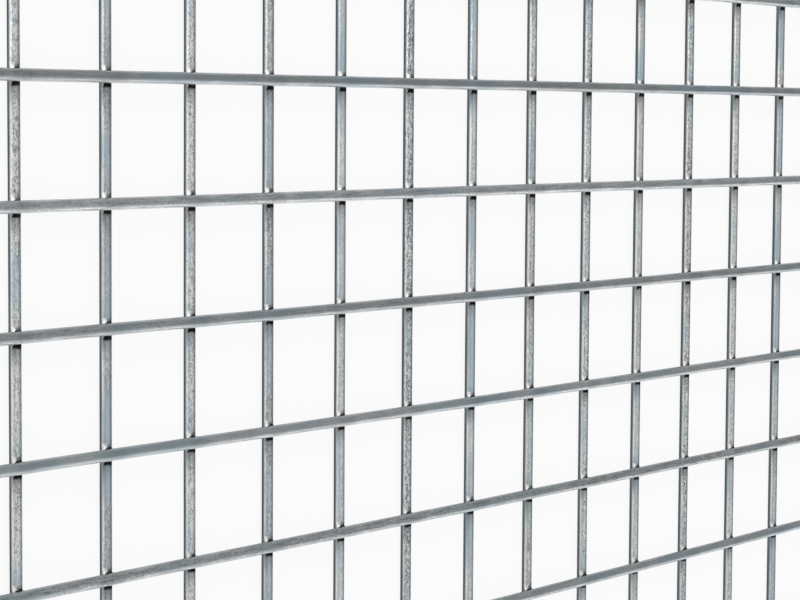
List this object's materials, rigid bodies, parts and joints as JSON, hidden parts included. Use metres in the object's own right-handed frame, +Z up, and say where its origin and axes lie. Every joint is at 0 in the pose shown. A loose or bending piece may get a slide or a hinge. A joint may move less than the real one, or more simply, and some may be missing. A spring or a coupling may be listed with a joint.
{
  "type": "welded wire mesh sheet",
  "caption": "Flat rectangular sheet of galvanised steel wire mesh: straight round wires in two layers, crossing at right angles and welded at every crossing, with trimmed ends.",
  "frame": {"origin": "middle of the sheet, on the plane that the lower wires rest on", "axes": "+X along the sheet's long side and the upper wires, +Y along the lower wires, +Z up through the sheet's thickness"},
  "size_m": [0.9208, 0.6162, 0.0046],
  "materials": {
    "galvanised_wire": "hot-dip galvanised steel wire, dull grey zinc with a fine grain"
  },
  "bodies": {
    "root": {"mesh_left": "galvanised_wire", "mesh_middle": "galvanised_wire", "mesh_right": "galvanised_wire"}
  },
  "joints": []
}
